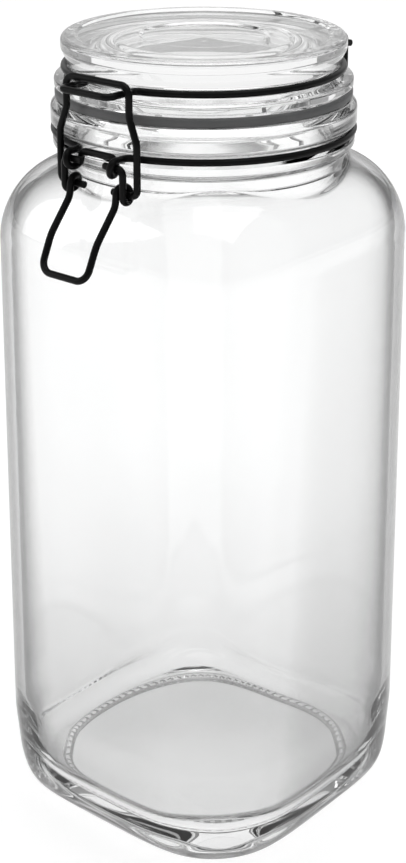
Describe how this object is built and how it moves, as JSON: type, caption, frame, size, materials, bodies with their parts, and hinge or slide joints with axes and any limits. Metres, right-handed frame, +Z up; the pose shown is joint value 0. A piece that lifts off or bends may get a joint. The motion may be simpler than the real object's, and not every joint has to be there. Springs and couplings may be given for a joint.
{
  "type": "clip-top glass storage jar",
  "caption": "Tall square-bodied clear glass jar with a hinged glass lid, rubber seal and black wire bail clasp that pulls the lid down airtight.",
  "frame": {"origin": "centre of the base, on the plane of the bearing ring that the jar stands on", "axes": "+Z up along the jar's axis; the clasp is on the -Y face and the lid's hinge is at +Y"},
  "size_m": [0.11, 0.1249, 0.2596],
  "materials": {
    "glass": "clear polished soda-lime glass",
    "seal": "matt grey silicone rubber",
    "wire": "black satin powder coat on steel wire"
  },
  "bodies": {
    "jar": {"jar_body": "glass", "neck_wire": "wire"},
    "lid": {"lid": "glass", "gasket": "seal", "lid_wire": "wire"},
    "lever": {"lever": "wire"},
    "link": {"clasp_link": "wire"}
  },
  "joints": [
    {"name": "lid_hinge", "type": "hinge", "parent": "jar", "child": "lid", "pos_m": [0, 0.0554, 0.2496], "axis": [-1, 0, 0], "range_deg": [0, 110]},
    {"name": "lever_pivot", "type": "hinge", "parent": "jar", "child": "lever", "pos_m": [0, -0.0511, 0.22772], "axis": [-1, 0, 0], "range_deg": [0, 110]},
    {"name": "link_pivot", "type": "hinge", "parent": "lever", "child": "link", "pos_m": [0, -0.0489, 0.21952], "axis": [-1, 0, 0], "range_deg": [-143, 0]}
  ],
  "couplings": [
    {"joint": "link_pivot", "follows": "lever_pivot", "ratio": -1.3}
  ]
}
